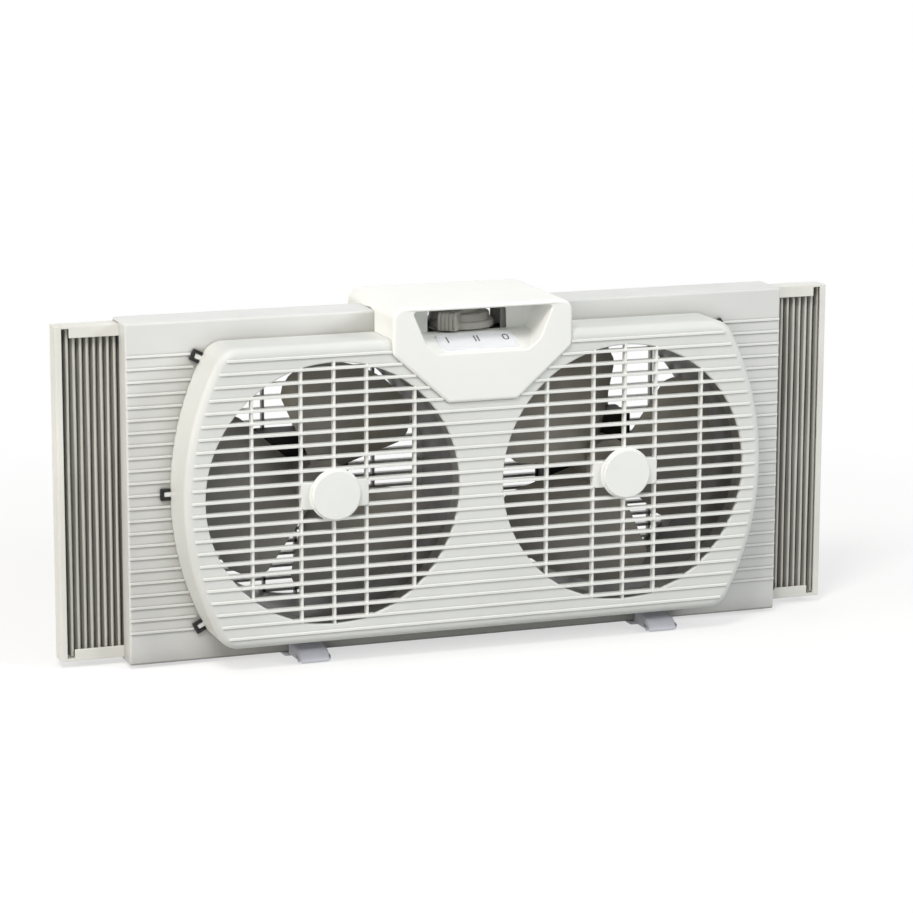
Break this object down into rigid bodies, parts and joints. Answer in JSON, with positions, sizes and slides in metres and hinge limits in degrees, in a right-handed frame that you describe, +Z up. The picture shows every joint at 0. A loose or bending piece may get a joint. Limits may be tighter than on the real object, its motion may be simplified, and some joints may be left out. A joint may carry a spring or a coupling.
{
  "type": "window fan",
  "caption": "Reversible window fan: ribbed case with round grilles, a shared knob, and pleated panels that slide out to fill the window.",
  "frame": {"origin": "on the surface the feet stand on, under the middle of the fan", "axes": "+X along the width to the right seen from the front, +Y from the front to the back, +Z up"},
  "size_m": [0.7092, 0.1304, 0.306],
  "materials": {
    "white_plastic": "fine moulded satin",
    "white_gloss": "smooth moulded",
    "fan_grey": "moulded satin",
    "duct_grey": "fine moulded grain",
    "knob_grey": "moulded satin",
    "foot_grey": "smooth moulded",
    "pleat": "pleated vinyl",
    "black_plastic": "fine moulded grain",
    "rubber": "matt",
    "steel": "turned and plated",
    "lamination": "stacked sheet edges",
    "copper_wire": "enamelled winding under tape",
    "bronze": "sintered",
    "wire_insulation": "smooth vinyl",
    "mark_ink": "printed"
  },
  "bodies": {
    "root": {"front_housing": "white_plastic", "rear_housing": "white_plastic", "front_cover": "white_plastic", "rear_cover": "white_plastic", "front_center_caps": "white_gloss", "rear_center_caps": "white_gloss", "front_control_housing": "white_plastic", "rear_control_housing": "white_plastic", "front_label_plate": "white_plastic", "rear_label_plate": "white_plastic", "dial_marks": "mark_ink", "rotary_switch": "black_plastic", "switch_bracket": "steel", "fan_shroud": "duct_grey", "left_stator": "lamination", "right_stator": "lamination", "left_coil": "copper_wire", "right_coil": "copper_wire", "left_motor_cover": "black_plastic", "right_motor_cover": "black_plastic", "left_motor_plate": "black_plastic", "right_motor_plate": "black_plastic", "left_bearings": "bronze", "right_bearings": "bronze", "motor_screws": "steel", "housing_screws": "steel", "front_cover_clips": "black_plastic", "rear_cover_clips": "black_plastic", "wiring_harness": "wire_insulation", "supply_wire": "wire_insulation", "cord_inlet": "black_plastic", "left_bellows": "pleat", "right_bellows": "pleat", "left_bellows_clamp": "white_plastic", "right_bellows_clamp": "white_plastic", "left_rail_guides": "duct_grey", "right_rail_guides": "duct_grey", "left_foot": "foot_grey", "right_foot": "foot_grey", "foot_pads": "rubber"},
    "left_fan": {"left_impeller": "fan_grey", "left_shaft": "steel", "left_hub_clip": "steel", "left_rotor": "steel"},
    "right_fan": {"right_impeller": "fan_grey", "right_shaft": "steel", "right_hub_clip": "steel", "right_rotor": "steel"},
    "knob": {"knob": "knob_grey", "knob_shaft": "steel"},
    "left_expander": {"left_end_bar": "white_plastic", "left_top_rail": "white_plastic", "left_bottom_rail": "white_plastic"},
    "right_expander": {"right_end_bar": "white_plastic", "right_top_rail": "white_plastic", "right_bottom_rail": "white_plastic"}
  },
  "joints": [
    {"name": "left_fan_spin", "type": "hinge", "parent": "root", "child": "left_fan", "pos_m": [-0.1323, 0, 0.15], "axis": [0, 1, 0], "continuous": true},
    {"name": "right_fan_spin", "type": "hinge", "parent": "root", "child": "right_fan", "pos_m": [0.1323, 0, 0.15], "axis": [0, 1, 0], "continuous": true},
    {"name": "knob_turn", "type": "hinge", "parent": "root", "child": "knob", "pos_m": [0, 0, 0.2785], "axis": [0, 0, 1], "range_deg": [0, 72]},
    {"name": "left_expander_slide", "type": "slide", "parent": "root", "child": "left_expander", "axis": [-1, 0, 0], "range_m": [-0.0526, 0.112], "deforming": ["left_bellows"]},
    {"name": "right_expander_slide", "type": "slide", "parent": "root", "child": "right_expander", "axis": [1, 0, 0], "range_m": [-0.0526, 0.112], "deforming": ["right_bellows"]}
  ]
}
